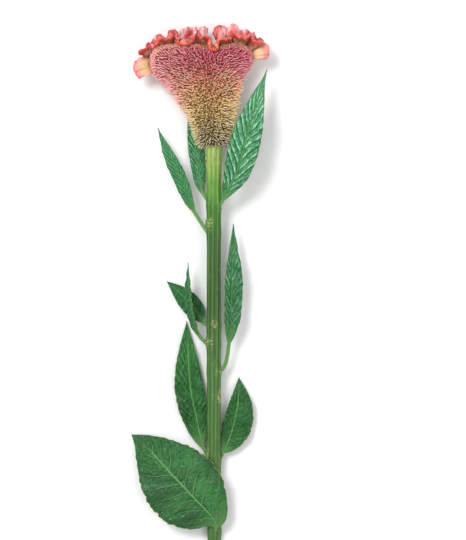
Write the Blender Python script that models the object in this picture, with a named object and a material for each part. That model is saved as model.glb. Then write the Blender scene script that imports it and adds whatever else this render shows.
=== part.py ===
"""Crested celosia (cockscomb): one cut flower stem with its leaves and head, lying on its back.

Metres, +Z up. The stem runs along +Y from its cut end, which lies at the origin, and the front of the
head faces +Z. The flower rests on two small flat spots, one under the cut end and one behind the head.
"""

import math

import bmesh
import bpy
import numpy as np

MM = 0.001
COLLECTION_NAME = "crested_celosia"

# Clearance between neighbouring solids
GAP = 0.4 * MM

# Stem: half widths are (place along the stem, half width), in millimetres
STEM_END_Y = -5 * MM
STEM_TOP_Y = 311 * MM
STEM_END_Z = 4.5 * MM
STEM_TOP_Z = 17.5 * MM
STEM_HALF_WIDTHS = ((-5, 5.2), (76, 5.0), (150, 5.4), (240, 5.4), (276, 5.4), (296, 6.0), (311, 6.9))
STEM_RIDGES = 9
STEM_RIDGE_DEPTH = 0.06
STEM_TWIST_PER_M = 1.6
STEM_SIDES = 27
STEM_RINGS = 40
STEM_NODE_SWELL = 0.07
STEM_NODE_HALF_LENGTH = 5.0 * MM

# Head: outlines of the body under the florets, in millimetres, seen from the front
HEAD_FOOT_Y = STEM_TOP_Y + GAP
HEAD_FOOT_HALF_WIDTH = 8.0
HEAD_LEFT_SIDE = ((-8, 311.4), (-11.6, 314), (-13.4, 323), (-17.5, 334.5), (-24.5, 345),
                  (-31, 355), (-38.5, 361.5), (-49, 369.5))
HEAD_RIGHT_SIDE = ((8, 311.4), (11.2, 315), (12.6, 325), (14.2, 338), (17.6, 352), (21, 366),
                   (27, 374), (31.5, 380))
HEAD_TOP = ((-49, 369.5), (-51.2, 377), (-50.2, 385), (-45.5, 390.3), (-37, 392.4), (-27, 393),
            (-16, 392.8), (-7, 391.6), (0, 391.2), (8, 392.4), (16, 393.4), (24, 392), (29.5, 387.5),
            (31.5, 380))
# Height of the head's middle sheet and half thickness of its body, in millimetres, by the share of the way up
HEAD_MIDDLE_HEIGHTS = ((0, 17.5), (0.3, 17.2), (1, 15.6))
HEAD_HALF_DEPTHS = ((0, 7.4), (0.03, 9.6), (0.12, 11.0), (0.4, 12.2), (0.7, 14.6), (0.86, 13.8), (0.95, 10.8),
                    (1, 7.2))
HEAD_ROUNDNESS = 0.66
FLORET_COLUMNS = 64
FLORET_ROWS = 24
FLORET_LENGTH = 3.0 * MM
FLORET_JITTER = 0.28
HEAD_REST_X = -9 * MM
HEAD_REST_Y = 371 * MM
HEAD_REST_RADII = (16 * MM, 9 * MM)
HEAD_REST_PRESS = 2.8 * MM

# Crest: folds of one ribbon along the top of the head, in millimetres:
# (place along the top from its left end, reach to the front or back, height of the rim)
CREST_FOLDS = (
    (0.5, 1.5, 6.5), (4.0, 3.0, 14.5), (8.5, 4.5, 14.0), (12.0, 3.0, 8.0), (15.5, -6.0, 9.5),
    (19.0, 7.0, 5.0), (23.5, -9.0, 8.5), (28.0, 12.0, 4.0), (33.0, -10.0, 10.5), (36.5, 11.0, 3.5),
    (41.0, -12.0, 12.5), (46.0, 15.0, 2.0), (50.5, -7.0, 14.0), (57.0, 9.5, 9.5), (62.5, -11.0, 15.0),
    (69.5, 18.0, -1.0), (76.5, -10.0, 15.0), (82.0, 13.0, 5.0), (86.5, -12.5, 16.0), (91.0, 13.5, 6.5),
    (95.0, -10.0, 12.0), (98.5, 10.5, 5.0), (101.5, -7.0, 10.0), (104.0, 5.0, 8.0), (107.5, 3.0, 13.0),
    (110.5, 2.0, 8.0),
)
CREST_THICKNESS = 2.2 * MM
CREST_COLUMNS_PER_FOLD = 7
CREST_FOOT_REACH = 0.42
CREST_LOOP = 0.15
CREST_ARCH = 4.0 * MM
CREST_SEAT = 0.6 * MM

# Leaves
BLADE_THICKNESS = 0.8 * MM
PETIOLE_HALF_WIDTH = 1.5 * MM
PETIOLE_THICKNESS = 2.2 * MM
LEAF_SEAT = 0.65 * MM
LEAF_ROWS = 18
LEAF_COLUMNS = 4
# Each leaf: place on the stem (along it in millimetres, and round it in degrees from the right side over
# the front), the midrib's further points in millimetres, half widths left and right of the midrib in
# millimetres, share taken by the petiole, roll at foot and tip and fold in degrees, waves along the
# margin and their height in millimetres
LEAVES = {
    "leaf_1": dict(at=(262, 25), midrib=((10, 274, 20), (18.5, 291, 24), (25.4, 316, 25.5), (34, 346, 23),
                                         (42.3, 372.3, 17)),
                   half=(13.5, 13), petiole=0.10, roll=(0, 8), fold=10, waves=(3, 1.2)),
    "leaf_2": dict(at=(266, 195), midrib=((-10.5, 278, 11.5), (-12.5, 296, 6), (-16, 316, 2.4), (-21, 343, 1.8)),
                   half=(6.4, 6.4), petiole=0.10, roll=(-6, 0), fold=3, waves=(3, 0.4)),
    "leaf_3": dict(at=(241, 178), midrib=((-11, 251, 12.5), (-19, 265, 13), (-27, 286, 13), (-37, 307, 11),
                                          (-45.3, 326, 8)),
                   half=(6.2, 6.6), petiole=0.22, roll=(0, 25), fold=24, waves=(2, 0.8)),
    "leaf_4": dict(at=(152, 175), midrib=((-12, 160, 11.5), (-17, 175, 14), (-19.5, 195, 15.5), (-21, 218, 13)),
                   half=(5.5, 5.5), petiole=0.14, roll=(50, 62), fold=20, waves=(2, 0.5)),
    "leaf_5": dict(at=(166, 215), midrib=((-9.5, 172, 4.8), (-17, 182, 3.6), (-27, 193, 3.4), (-38, 203, 2.6)),
                   half=(8, 8.5), petiole=0.14, roll=(0, 0), fold=8, waves=(3, 0.7)),
    "leaf_6": dict(at=(62, 190), midrib=((-9.5, 72, 4.6), (-14, 92, 3.8), (-19, 118, 4.2), (-21, 145, 4.2),
                                         (-22, 171, 2.4)),
                   half=(13, 11), petiole=0.08, roll=(0, 0), fold=6, waves=(4, 1.2)),
    "leaf_7": dict(at=(130, 5), midrib=((9.5, 138, 10.5), (12.5, 160, 13.5), (14, 190, 16), (14.5, 220, 15.5),
                                        (15.5, 249, 11)),
                   half=(7.5, 9), petiole=0.2, roll=(-8, -28), fold=22, waves=(3, 1.0)),
    "leaf_8": dict(at=(2, 62), midrib=((0, 12, 15.5), (-14, 28, 19.5), (-35, 50, 17), (-54, 70, 9),
                                       (-66.5, 80, 3.5)),
                   half=(31, 30), petiole=0.05, roll=(0, 0), fold=-5, waves=(4, 1.8)),
    "leaf_9": dict(at=(60, 348), midrib=((9.5, 70, 6.2), (14.5, 84, 5.2), (19, 104, 5.2), (20, 126, 3)),
                   half=(9, 15), petiole=0.10, roll=(0, 0), fold=8, waves=(3, 1.2)),
}
LEAF_WIDEST = 0.42
LEAF_TIP_POWER = 1.15

# Colours: red, green, blue and roughness
STEM_COLOUR = (0.22, 0.42, 0.10, 0.45)
LEAF_COLOUR = (0.05, 0.26, 0.09, 0.5)
FLORET_COLOUR = (0.52, 0.26, 0.16, 0.8)
CREST_COLOUR = (0.72, 0.12, 0.09, 0.7)


def smooth_curve(points, shares):
    """Points at these shares of the length of a smooth curve through the given points."""
    p = np.asarray(points, float)
    p = np.vstack([2 * p[0] - p[1], p, 2 * p[-1] - p[-2]])
    t = np.linspace(0, 1, 30, endpoint=False)[:, None]
    runs = []
    for a, b, c, d in zip(p, p[1:], p[2:], p[3:]):
        runs.append(0.5 * (2 * b + (c - a) * t + (2 * a - 5 * b + 4 * c - d) * t**2
                           + (3 * b - a - 3 * c + d) * t**3))
    dense = np.vstack(runs + [p[-2:-1]])
    length = np.append(0, np.cumsum(np.linalg.norm(np.diff(dense, axis=0), axis=1)))
    return np.stack([np.interp(np.asarray(shares) * length[-1], length, dense[:, k])
                     for k in range(p.shape[1])], axis=-1)


def unit(v):
    return v / np.linalg.norm(v, axis=-1, keepdims=True)


def read_off(pairs, x):
    """A value read from a short list of (place, value) pairs, in millimetres or shares."""
    places, values = np.asarray(pairs, float).T
    return np.interp(x, places, values)


def make_object(name, points, faces, colour):
    """A closed mesh object with its own material, in the object's collection."""
    mesh = bpy.data.meshes.new(name)
    mesh.from_pydata([tuple(map(float, p)) for p in points], [], [tuple(map(int, f)) for f in faces])
    shell = bmesh.new()
    shell.from_mesh(mesh)
    bmesh.ops.recalc_face_normals(shell, faces=shell.faces)
    shell.to_mesh(mesh)
    shell.free()
    mesh.shade_smooth()
    mesh.set_sharp_from_angle(angle=math.radians(50))
    material = bpy.data.materials.new(name)
    material.use_nodes = True
    shader = material.node_tree.nodes["Principled BSDF"]
    shader.inputs["Base Color"].default_value = (*colour[:3], 1)
    shader.inputs["Roughness"].default_value = colour[3]
    mesh.materials.append(material)
    made = bpy.data.objects.new(name, mesh)
    bpy.data.collections[COLLECTION_NAME].objects.link(made)
    return made


def stem_axis_z(y):
    return STEM_END_Z + (STEM_TOP_Z - STEM_END_Z) * (y - STEM_END_Y) / (STEM_TOP_Y - STEM_END_Y)


def stem_point(y, angle, out=0.0):
    """A point on the ridged surface of the stem, at an angle from its right side over its front."""
    ridge = 1 + STEM_RIDGE_DEPTH * np.cos(STEM_RIDGES * angle + STEM_TWIST_PER_M * STEM_RIDGES * y)
    nodes = sum(np.exp(-(((y - leaf["at"][0] * MM) / STEM_NODE_HALF_LENGTH) ** 2)) for leaf in LEAVES.values())
    radius = read_off(STEM_HALF_WIDTHS, y / MM) * MM * ridge * (1 + STEM_NODE_SWELL * nodes) + out
    z = np.maximum(stem_axis_z(y) + radius * np.sin(angle), 0)
    return np.stack(np.broadcast_arrays(radius * np.cos(angle), y, z), axis=-1)


def build_stem():
    y = np.linspace(STEM_END_Y, STEM_TOP_Y, STEM_RINGS)
    angle = np.arange(STEM_SIDES) / STEM_SIDES * 2 * math.pi
    points = stem_point(y[:, None], angle[None, :]).reshape(-1, 3)
    faces = []
    for i in range(STEM_RINGS - 1):
        for j in range(STEM_SIDES):
            k = (j + 1) % STEM_SIDES
            faces.append((i * STEM_SIDES + j, (i + 1) * STEM_SIDES + j,
                          (i + 1) * STEM_SIDES + k, i * STEM_SIDES + k))
    faces.append(tuple(range(STEM_SIDES)))
    faces.append(tuple(reversed(range((STEM_RINGS - 1) * STEM_SIDES, STEM_RINGS * STEM_SIDES))))
    return make_object("stem", points, faces, STEM_COLOUR)


def head_outline(across, up):
    """A point of the head's middle sheet, from its foot to its top edge and from left to right."""
    left = smooth_curve(HEAD_LEFT_SIDE, up)
    right = smooth_curve(HEAD_RIGHT_SIDE, up)
    top = smooth_curve(HEAD_TOP, across)
    foot = np.stack([(2 * np.asarray(across) - 1) * HEAD_FOOT_HALF_WIDTH,
                     np.full(np.shape(across), HEAD_FOOT_Y / MM)], axis=-1)
    c, v = np.asarray(across)[..., None], np.asarray(up)[..., None]
    corners = ((1 - c) * (1 - v) * foot_corner(0) + c * (1 - v) * foot_corner(1)
               + (1 - c) * v * np.array(HEAD_TOP[0]) + c * v * np.array(HEAD_TOP[-1]))
    return ((1 - c) * left + c * right + (1 - v) * foot + v * top - corners) * MM


def foot_corner(side):
    return np.array([(2 * side - 1) * HEAD_FOOT_HALF_WIDTH, HEAD_FOOT_Y / MM])


def head_point(turn, up):
    """A point on the head's body: turn runs once round it, from the left edge over the front."""
    across = (1 - np.cos(turn)) / 2
    depth = np.sign(np.sin(turn)) * np.abs(np.sin(turn)) ** HEAD_ROUNDNESS
    xy = head_outline(across, up)
    z = (read_off(HEAD_MIDDLE_HEIGHTS, up) + depth * read_off(HEAD_HALF_DEPTHS, up)) * MM
    away = (((xy - (HEAD_REST_X, HEAD_REST_Y)) / HEAD_REST_RADII) ** 2).sum(axis=-1)
    z = np.where(depth < 0, z - HEAD_REST_PRESS * np.exp(-away), z)
    return np.concatenate([xy, np.maximum(z, 0)[..., None]], axis=-1)


def build_florets():
    """The head's body, covered all over with pointed florets raised from its surface."""
    draw = np.random.default_rng(7)
    turn = np.arange(FLORET_COLUMNS) / FLORET_COLUMNS * 2 * math.pi
    up = np.linspace(0, 1, FLORET_ROWS + 1)
    grid = head_point(*np.broadcast_arrays(turn[None, :], up[:, None]))
    after = np.roll(grid, -1, axis=1)
    middle = (grid[:-1] + after[:-1] + grid[1:] + after[1:]) / 4
    normal = unit(np.cross(after[1:] - grid[:-1], grid[1:] - after[:-1]))
    cell = np.linalg.norm(after[1:] - grid[:-1], axis=-1)[..., None]
    lean = draw.uniform(-1, 1, middle.shape) * FLORET_JITTER
    length = np.minimum(FLORET_LENGTH, 1.3 * cell)
    length[-1] *= 0.45
    tips = middle + unit(normal + lean) * length
    tips[..., 2] = np.maximum(tips[..., 2], 0)
    corner_count = (FLORET_ROWS + 1) * FLORET_COLUMNS
    faces = []
    for i in range(FLORET_ROWS):
        for j in range(FLORET_COLUMNS):
            k = (j + 1) % FLORET_COLUMNS
            tip = corner_count + i * FLORET_COLUMNS + j
            a, b = i * FLORET_COLUMNS + j, i * FLORET_COLUMNS + k
            c, d = b + FLORET_COLUMNS, a + FLORET_COLUMNS
            faces += [(b, a, tip), (c, b, tip), (d, c, tip), (a, d, tip)]
    last = FLORET_ROWS * FLORET_COLUMNS
    for start, flip in ((0, False), (last, True)):
        for j in range(FLORET_COLUMNS // 2):
            strip = [start + j, start + j + 1, start + (FLORET_COLUMNS - j - 1) % FLORET_COLUMNS,
                     start + (FLORET_COLUMNS - j) % FLORET_COLUMNS]
            strip = list(dict.fromkeys(strip))
            faces.append(tuple(reversed(strip)) if flip else tuple(strip))
    points = np.concatenate([grid.reshape(-1, 3), tips.reshape(-1, 3)])
    return make_object("head_florets", points, faces, FLORET_COLOUR)


def crest_sheet(fold, rise):
    """A point of the crest's middle sheet: fold counts the folds, rise runs from its foot to its rim."""
    folds = np.array(CREST_FOLDS)
    k = np.minimum(fold.astype(int), len(folds) - 2)
    f = fold - k
    ease = (1 - np.cos(math.pi * f)) / 2
    start, end = folds[k], folds[k + 1]
    loop = CREST_LOOP * rise * np.sin(2 * math.pi * f)
    along = start[..., 0] + (end[..., 0] - start[..., 0]) * (f + loop)
    reach = start[..., 1] + (end[..., 1] - start[..., 1]) * ease
    height = start[..., 2] + (end[..., 2] - start[..., 2]) * ease
    length = np.linalg.norm(np.diff(smooth_curve(HEAD_TOP, np.linspace(0, 1, 300)), axis=0), axis=1).sum()
    step = 0.004
    share = np.clip(along / length, step, 1 - step)
    foot = smooth_curve(HEAD_TOP, share)
    ahead = unit(smooth_curve(HEAD_TOP, share + step) - smooth_curve(HEAD_TOP, share - step))
    out = np.stack([-ahead[..., 1], ahead[..., 0]], axis=-1)
    lift = CREST_SEAT / MM + height * rise + CREST_ARCH / MM * np.sin(math.pi * rise) * np.abs(reach) / 12
    z = HEAD_MIDDLE_HEIGHTS[-1][1] + reach * (CREST_FOOT_REACH + (1 - CREST_FOOT_REACH) * rise**1.5)
    return np.concatenate([foot + out * lift[..., None], z[..., None]], axis=-1) * MM


def surface_normals(grid):
    return unit(np.cross(np.gradient(grid, axis=0), np.gradient(grid, axis=1)))


def build_crest():
    """One thick ribbon with a rounded rim, folded to the front and back along the head's top."""
    fold = np.linspace(0, len(CREST_FOLDS) - 1, (len(CREST_FOLDS) - 1) * CREST_COLUMNS_PER_FOLD + 1)
    rise = np.array([0, 0.35, 0.7, 0.93])
    sheet = crest_sheet(*np.broadcast_arrays(fold[:, None], rise[None, :]))
    normal = surface_normals(sheet)
    rim = crest_sheet(fold, np.ones(len(fold)))
    half = CREST_THICKNESS / 2
    rings = np.concatenate([sheet + normal * half, rim[:, None], (sheet - normal * half)[:, ::-1]], axis=1)
    return make_object("crest", *tube_of(rings), CREST_COLOUR)


def tube_of(rings):
    """Points and faces of a closed solid through rings of points, with flat ends."""
    count, sides = rings.shape[:2]
    faces = []
    for i in range(count - 1):
        for j in range(sides):
            k = (j + 1) % sides
            a, b = i * sides + j, i * sides + k
            c, d = b + sides, a + sides
            faces += [(a, b, c), (a, c, d)]
    faces.append(tuple(reversed(range(sides))))
    faces.append(tuple(range((count - 1) * sides, count * sides)))
    return rings.reshape(-1, 3), faces


def leaf_width(share, half, petiole):
    """Half width of a leaf at a share of its length: a narrow petiole that opens into the blade."""
    s = np.clip((share - petiole) / (1 - petiole), 0, 1)
    rise = LEAF_TIP_POWER * LEAF_WIDEST / (1 - LEAF_WIDEST)
    blade = (s / LEAF_WIDEST) ** rise * ((1 - s) / (1 - LEAF_WIDEST)) ** LEAF_TIP_POWER
    stalk = PETIOLE_HALF_WIDTH * np.clip(1 - 1.2 * s, 0.2, 1)
    return np.maximum(half * MM * blade, stalk)


def leaf_sheet(leaf, share, across):
    """A point of a leaf's middle sheet: share runs along it, across from -1 on the left to 1."""
    y, angle = leaf["at"]
    seat = stem_point(np.array(y * MM), math.radians(angle), LEAF_SEAT) / MM
    points = [seat] + list(leaf["midrib"])
    step = 0.01
    middle = smooth_curve(points, share)
    ahead = unit(smooth_curve(points, np.minimum(share + step, 1)) - smooth_curve(points, np.maximum(share - step, 0)))
    side = unit(np.cross(ahead, (0, 0, 1)))
    front = np.cross(side, ahead)
    roll = np.radians(leaf["roll"][0] + (leaf["roll"][1] - leaf["roll"][0]) * share)[..., None]
    side, front = side * np.cos(roll) + front * np.sin(roll), front * np.cos(roll) - side * np.sin(roll)
    half = np.where(across < 0, leaf["half"][0], leaf["half"][1])
    width = leaf_width(share, half, leaf["petiole"])
    fold = math.radians(leaf["fold"])
    count, height = leaf["waves"]
    wave = height * MM * across**2 * np.sin(2 * math.pi * count * share + 1.3 * across)
    wave = wave * np.minimum(width / (np.max(leaf["half"]) * MM), 1)
    flat = across * width * math.cos(fold)
    raised = np.abs(across) * width * math.sin(fold) + wave
    return middle * MM + side * flat[..., None] + front * raised[..., None]


def clear_of_stem(points):
    """The points, with those inside the stem or nearer than the gap moved straight out of it."""
    x, y, z = np.moveaxis(points, -1, 0)
    angle = np.arctan2(z - stem_axis_z(y), x)
    wall = stem_point(y, angle, LEAF_SEAT)
    inside = np.hypot(x, z - stem_axis_z(y)) < np.hypot(wall[..., 0], wall[..., 2] - stem_axis_z(y))
    return np.where(inside[..., None], wall, points)


def build_leaf(name, leaf):
    """One leaf: a thin arched blade with waved margins on a stout petiole, seated on the stem."""
    share = np.linspace(0, 1, LEAF_ROWS + 1) ** 1.15
    across = np.linspace(-1, 1, LEAF_COLUMNS + 1)
    sheet = leaf_sheet(leaf, *np.broadcast_arrays(share[:, None], across[None, :]))
    normal = surface_normals(sheet)
    stalk = np.clip(1 - (share - leaf["petiole"]) / 0.2, 0, 1)
    half = (BLADE_THICKNESS + (PETIOLE_THICKNESS - BLADE_THICKNESS) * stalk)[:, None, None] / 2
    rings = np.concatenate([sheet + normal * half, (sheet - normal * half)[:, ::-1]], axis=1)
    points, faces = tube_of(clear_of_stem(rings))
    return make_object(name, points, faces, LEAF_COLOUR)


def main():
    for old in list(bpy.data.objects):
        bpy.data.objects.remove(old)
    collection = bpy.data.collections.new(COLLECTION_NAME)
    bpy.context.scene.collection.children.link(collection)
    build_stem()
    build_florets()
    build_crest()
    for name, leaf in LEAVES.items():
        build_leaf(name, leaf)


main()
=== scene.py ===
"""Looks of the crested celosia stem: stem, leaves, head, florets, seeds that also stand in for shade, and
crest on a pale studio floor.

The shape functions of stem, leaf and head repeat those of the solids with the same named values, at a
finer step and with the relief that the solids leave out. Metres, +Z up, the camera looks straight down.
"""

import math

import bpy
import numpy as np
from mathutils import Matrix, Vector

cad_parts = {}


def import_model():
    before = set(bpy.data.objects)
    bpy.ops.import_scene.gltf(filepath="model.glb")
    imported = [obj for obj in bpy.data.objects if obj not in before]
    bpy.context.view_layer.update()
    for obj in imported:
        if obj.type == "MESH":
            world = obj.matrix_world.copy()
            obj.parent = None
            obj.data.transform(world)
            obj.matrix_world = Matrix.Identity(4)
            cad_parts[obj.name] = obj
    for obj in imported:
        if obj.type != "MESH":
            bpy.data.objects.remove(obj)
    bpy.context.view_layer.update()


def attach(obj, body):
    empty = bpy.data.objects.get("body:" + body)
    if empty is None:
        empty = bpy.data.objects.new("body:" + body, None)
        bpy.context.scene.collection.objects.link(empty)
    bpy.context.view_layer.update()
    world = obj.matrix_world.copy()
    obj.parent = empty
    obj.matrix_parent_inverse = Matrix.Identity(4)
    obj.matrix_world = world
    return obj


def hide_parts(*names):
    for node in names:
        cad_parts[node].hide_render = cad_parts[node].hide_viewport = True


MM = 0.001

# The camera's frame, centred on this point
VIEW_CENTRE = (15.2 * MM, 212 * MM, 15 * MM)
VIEW_HEIGHT = 432 * MM
CAMERA_DISTANCE = 2.5

# Stem, as in the solids
STEM_END_Y = -5 * MM
STEM_TOP_Y = 311 * MM
STEM_END_Z = 4.5 * MM
STEM_TOP_Z = 17.5 * MM
STEM_HALF_WIDTHS = ((-5, 5.2), (76, 5), (150, 5.4), (240, 5.4), (276, 5.4), (296, 6), (311, 6.9))
STEM_RIDGES = 9
STEM_RIDGE_DEPTH = 0.06
STEM_TWIST_PER_M = 1.6
STEM_NODE_SWELL = 0.07
STEM_NODE_HALF_LENGTH = 5 * MM
STEM_SIDES = 150
STEM_RINGS = 340
# Lines finer than its ridges: (count round the stem, height in mm, turns per metre)
STEM_LINES = ((23, 0.11, 1.1), (37, 0.07, -0.8), (58, 0.04, 1.9))
# The cut end's rings: (share of the way out from the middle, dip in mm)
STEM_CUT = ((0.02, 0.5), (0.3, 0.45), (0.55, 0.3), (0.8, 0.05), (0.93, -0.12))
STEM_SCAR_RADIUS = 5.4
# Scars and buds: (along the stem in mm, degrees round it, half length, height, colour share)
STEM_SCARS = (
    (299, 168, 2.2, 0.5, 1), (297, 48, 1.3, 0.3, 0.8), (305, 72, 1.5, 0.5, 0.5), (249, 176, 3, 1.3, 0.6),
    (169, 92, 1.6, 0.5, 0.9), (155, 172, 2.6, 1.3, 0.9), (131, 10, 2.4, 0.9, 0.7), (111, 25, 2.6, 0.8, 1),
    (64, 186, 2.4, 0.8, 0.7), (222, 265, 2.4, 0.8, 0.9), (92, 250, 2.6, 0.9, 0.8), (36, 300, 2.4, 0.7, 0.8),
)

# Head, as in the solids
HEAD_FOOT_Y = 311.4
HEAD_FOOT_HALF_WIDTH = 8
HEAD_LEFT_SIDE = ((-8, 311.4), (-11.6, 314), (-13.4, 323), (-17.5, 334.5), (-24.5, 345),
                  (-31, 355), (-38.5, 361.5), (-49, 369.5))
HEAD_RIGHT_SIDE = ((8, 311.4), (11.2, 315), (12.6, 325), (14.2, 338), (17.6, 352), (21, 366),
                   (27, 374), (31.5, 380))
HEAD_TOP = ((-49, 369.5), (-51.2, 377), (-50.2, 385), (-45.5, 390.3), (-37, 392.4), (-27, 393),
            (-16, 392.8), (-7, 391.6), (0, 391.2), (8, 392.4), (16, 393.4), (24, 392), (29.5, 387.5),
            (31.5, 380))
HEAD_MIDDLE_HEIGHTS = ((0, 17.5), (0.3, 17.2), (1, 15.6))
HEAD_HALF_DEPTHS = ((0, 7.4), (0.03, 9.6), (0.12, 11), (0.4, 12.2), (0.7, 14.6), (0.86, 13.8),
                    (0.95, 10.8), (1, 7.2))
HEAD_ROUNDNESS = 0.66
HEAD_REST_X = -9 * MM
HEAD_REST_Y = 371 * MM
HEAD_REST_RADII = (16 * MM, 9 * MM)
HEAD_REST_PRESS = 2.8 * MM
HEAD_SIDES = 160
HEAD_RINGS = 80
HEAD_MIDDLE_Z = 16 * MM
HEAD_TOP_LENGTH = 107.8

# Florets: short broad bracts, and longer narrow tepals that shrink where the head meets the crest
FLORET_DRAW = 11
FLORET_TRIES = 60000
BRACTS_A_TUFT = 3
BRACT_SPACING = 2 * MM
BRACT_LENGTH = 1.9 * MM
BRACT_HALF_WIDTH = 0.5 * MM
BRACT_SCATTER = 0.2
TEPALS_A_TUFT = 4
TEPAL_SPACING = 1.5 * MM
TEPAL_LENGTH = 4.3 * MM
TEPAL_HALF_WIDTH = 0.31 * MM
TEPAL_SCATTER = 0.24
TEPAL_SIZES = ((0, 0.7), (0.1, 0.9), (0.6, 1), (0.85, 0.85), (0.95, 0.55), (1, 0.4))
SIDE_LENGTHENING = 0.4
# Along a blade: shares of its length and of its half width, and its distances from the tuft's middle
BLADE_SHARES = np.array([0, 0.4, 0.72, 1])
BLADE_WIDTHS = np.array([0.7, 1, 0.72, 0.04])
BRACT_SPREAD = (0.2 * MM, 0.7 * MM, 1.1 * MM, 1.3 * MM)
TEPAL_SPREAD = (0.28 * MM, 0.38 * MM, 0.28 * MM, 0.08 * MM)
TUFT_DIP = 0.3 * MM
MOST_TRIANGLES = 150000
# Florets lean away from this point, mostly sideways, up to this much at about these distances from it
FAN_POINT = (-3 * MM, 336 * MM)
FAN_REACH = (14 * MM, 30 * MM)
FAN_LEAN = (0.95, 0.4)
# They end in a wavy edge at this share of the head's height, and higher at its two ends: past this reach
# from its middle and below this height
FLORET_TOP = 0.962
FLORET_TOP_WAVE = 0.02
FLORET_END_TOP = 0.99
FLORET_MIDDLE_X = -9 * MM
FLORET_MIDDLE_REACH = 35 * MM
FLORET_ENDS_Y = 386 * MM
# Ripe seeds between the florets, which also stand in for shade in the gaps, on the lower head and where it
# faces up or down
SEED_SPACING = 2.3 * MM
SEED_RADIUS = 0.46 * MM
SEED_STAND = (3.3 * MM, 4.1 * MM)
SEED_TOP = 0.93
SEED_FACING = 0.4
SEED_ROWS = 6
SEED_SIDES = 7

# Crest: two pleated fleshy ribbons along the top of the head, as points of their rims in mm, each with the
# half thickness there
CREST_FRONT = (
    (-60.4, 364.4, 16, 0.8), (-62.4, 366.8, 16.8, 0.9), (-64.2, 370.4, 17.6, 1), (-64.8, 374.9, 18.5, 1),
    (-63.2, 378.8, 18, 1), (-60, 381, 15, 1), (-56.6, 382.8, 12, 1), (-57.4, 384.2, 18, 1),
    (-60.4, 385, 23, 1.2), (-59.2, 387.2, 25.5, 1.3), (-56.2, 388.6, 24, 1.3), (-54.2, 389.8, 20, 1.2),
    (-54.8, 392.4, 16, 1.1), (-53, 394.2, 13, 1.1), (-50.6, 393.2, 14.5, 1.1), (-49, 391.2, 19.5, 1.2),
    (-46.2, 392.6, 22.5, 1.2), (-43.6, 396.8, 22, 1.3), (-41.2, 398.6, 23, 1.5), (-38.4, 396.8, 25.5, 1.7),
    (-35.8, 396.9, 25, 1.7), (-34.4, 399.4, 20.5, 1.5), (-34.8, 403.2, 16, 1.3), (-32.6, 404.6, 13.5, 1.2),
    (-30.6, 403, 14, 1.2), (-30.6, 398.4, 16, 1.2), (-29.8, 394.8, 20, 1.3), (-27.6, 393, 25, 1.5),
    (-23.8, 392.6, 28, 1.8), (-20.2, 393.2, 28, 1.9), (-17.2, 395.8, 25, 1.8), (-15.6, 399.6, 20, 1.6),
    (-14.4, 403.4, 15, 1.3), (-12.8, 404.8, 13, 1.2), (-11.8, 402.4, 16, 1.2), (-11.4, 399.4, 21, 1.4),
    (-8.6, 398.3, 25, 1.6), (-5.4, 398.6, 26.6, 1.6), (-3.4, 397.4, 27.6, 1.6), (-3.1, 394.4, 28.4, 1.6),
    (-3.3, 390.8, 29.6, 1.6), (-3, 388, 30.2, 1.7), (-1.2, 387, 30.4, 1.8), (1, 387, 30.4, 1.8),
    (2.5, 388, 30, 1.7), (2.7, 390.8, 29.2, 1.6), (2.6, 393.6, 28.2, 1.6), (3.8, 395.6, 27.2, 1.5),
    (7.2, 396.1, 27, 1.5), (10.4, 396.2, 27, 1.5),
    (12.6, 397.2, 24.5, 1.3), (12.4, 400, 20, 1.3), (12.6, 403.2, 16, 1.2), (14.4, 403.8, 17, 1.3),
    (16.4, 401.6, 22, 1.5), (19.4, 399.1, 26, 1.8), (22.8, 397.8, 27.5, 1.8), (26.2, 397.4, 27, 1.6),
    (28.4, 399, 23, 1.3), (29.6, 401.9, 17.5, 1.2), (31, 401.9, 15.5, 1.1), (30.6, 398.2, 20, 1.3),
    (31.8, 395.8, 24, 1.5), (34.2, 394.2, 25.5, 1.5), (37.2, 393.4, 25, 1.3), (39.4, 394.2, 21, 1.1),
    (39.4, 393.6, 16.5, 1), (41.8, 393.6, 15.5, 1), (43.9, 391.4, 17, 1), (44.7, 386.8, 18.5, 1),
    (44.3, 383.2, 17.5, 0.9), (41.8, 380.8, 16, 0.8),
)
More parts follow.
